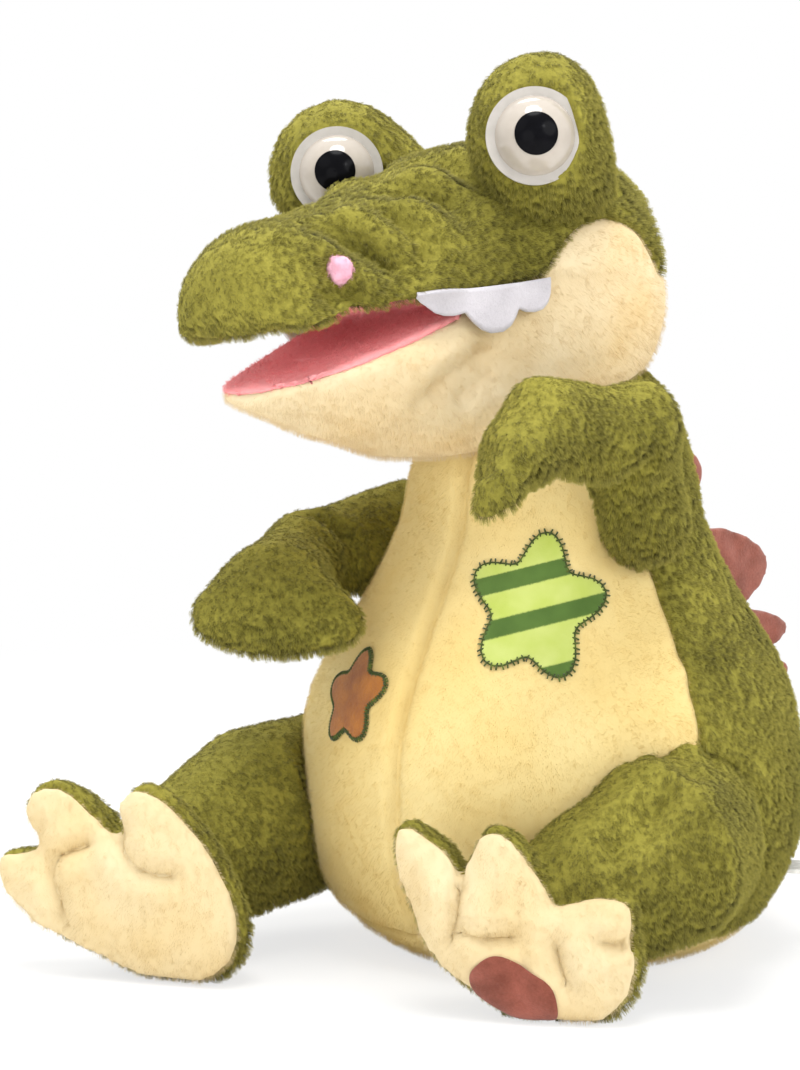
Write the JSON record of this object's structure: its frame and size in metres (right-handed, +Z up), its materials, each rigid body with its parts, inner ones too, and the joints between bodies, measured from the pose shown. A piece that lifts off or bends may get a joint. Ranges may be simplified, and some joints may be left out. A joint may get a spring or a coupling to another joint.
{
  "type": "moving mouth puppet",
  "caption": "Seated plush crocodile hand puppet: a sleeve in the body leads through the neck to finger and thumb pockets that open and close the mouth.",
  "frame": {"origin": "middle of the hand sleeve's opening, on the floor under the seat", "axes": "+Z up along the sleeve, the puppet faces -Y, +X is the puppet's left side"},
  "size_m": [0.2153, 0.3032, 0.2834],
  "materials": {
    "yellow_plush": "short pile",
    "green_plush": "short pile",
    "stuffing": "loose polyester fibre",
    "lining_cloth": "plain weave",
    "green_satin": "satin with a stitched edge",
    "orange_satin": "satin with a stitched edge",
    "brown_felt": "felt",
    "white_felt": "felt",
    "label_tape": "woven tape",
    "mouth_board": "plain",
    "pink_velour": "velour",
    "eye_white": "polished",
    "eye_flange": "satin",
    "eye_black": "polished",
    "lock_washer": "moulded"
  },
  "bodies": {
    "torso": {"seat_panel": "yellow_plush", "belly_panel": "yellow_plush", "back_panel": "green_plush", "body_stuffing": "stuffing", "hand_sleeve": "lining_cloth", "star_patch_left": "green_satin", "star_patch_right": "orange_satin", "back_plate_1": "brown_felt", "back_plate_2": "brown_felt", "back_plate_3": "brown_felt", "back_plate_4": "brown_felt", "back_plate_5": "brown_felt", "label": "label_tape"},
    "neck": {"neck_collar": "yellow_plush", "neck_sleeve": "lining_cloth"},
    "head": {"crown": "green_plush", "cheek_left": "yellow_plush", "cheek_right": "yellow_plush", "head_stuffing": "stuffing", "finger_pocket": "lining_cloth", "throat": "yellow_plush", "throat_gusset": "yellow_plush", "palate_board": "mouth_board", "palate_lining": "pink_velour", "mouth_fold": "pink_velour", "eye_bump_left": "green_plush", "eye_bump_right": "green_plush", "eye_flange_left": "eye_flange", "eye_flange_right": "eye_flange", "eye_dome_left": "eye_white", "eye_dome_right": "eye_white", "eye_pupil_left": "eye_black", "eye_pupil_right": "eye_black", "eye_washer_left": "lock_washer", "eye_washer_right": "lock_washer", "nostril_left": "pink_velour", "nostril_right": "pink_velour", "teeth_left": "white_felt", "teeth_right": "white_felt"},
    "jaw": {"lower_jaw": "yellow_plush", "jaw_stuffing": "stuffing", "thumb_pocket": "lining_cloth", "jaw_board": "mouth_board", "jaw_lining": "pink_velour"},
    "left_arm": {"arm_left": "green_plush"},
    "right_arm": {"arm_right": "green_plush"},
    "left_leg": {"leg_left": "green_plush", "foot_upper_left": "green_plush", "sole_left": "yellow_plush", "sole_oval": "brown_felt"},
    "right_leg": {"leg_right": "green_plush", "foot_upper_right": "green_plush", "sole_right": "yellow_plush"},
    "tail": {"tail_top": "green_plush", "tail_underside": "yellow_plush"}
  },
  "joints": [
    {"name": "head_turn", "type": "hinge", "parent": "torso", "child": "neck", "pos_m": [0, 0, 0.15], "axis": [0, 0, 1], "range_deg": [-20, 8]},
    {"name": "head_nod", "type": "hinge", "parent": "neck", "child": "head", "pos_m": [0, 0, 0.15], "axis": [-0.9803, 0.1553, -0.1219], "range_deg": [-8, 15]},
    {"name": "jaw_open", "type": "hinge", "parent": "head", "child": "jaw", "pos_m": [-0.01353, -0.03633, 0.21253], "axis": [0.9803, -0.1553, 0.1219], "range_deg": [-5, 22], "deforming": ["throat_gusset"]},
    {"name": "left_arm_swing", "type": "hinge", "parent": "torso", "child": "left_arm", "pos_m": [0.0535, -0.01947, 0.142], "axis": [0.9397, -0.342, 0], "range_deg": [-5, 20]},
    {"name": "right_arm_swing", "type": "hinge", "parent": "torso", "child": "right_arm", "pos_m": [-0.05517, -0.0058, 0.133], "axis": [-0.9945, -0.1045, 0], "range_deg": [-5, 20]},
    {"name": "left_leg_lift", "type": "hinge", "parent": "torso", "child": "left_leg", "pos_m": [0.06607, -0.02405, 0.045], "axis": [-0.9397, 0.342, 0], "range_deg": [0, 15]},
    {"name": "right_leg_lift", "type": "hinge", "parent": "torso", "child": "right_leg", "pos_m": [-0.06423, -0.0286, 0.045], "axis": [-0.9135, -0.4067, 0], "range_deg": [0, 15]},
    {"name": "tail_wag", "type": "hinge", "parent": "torso", "child": "tail", "pos_m": [-0.00464, 0.06641, 0.035], "axis": [0, 0, 1], "range_deg": [-10, 10]}
  ]
}
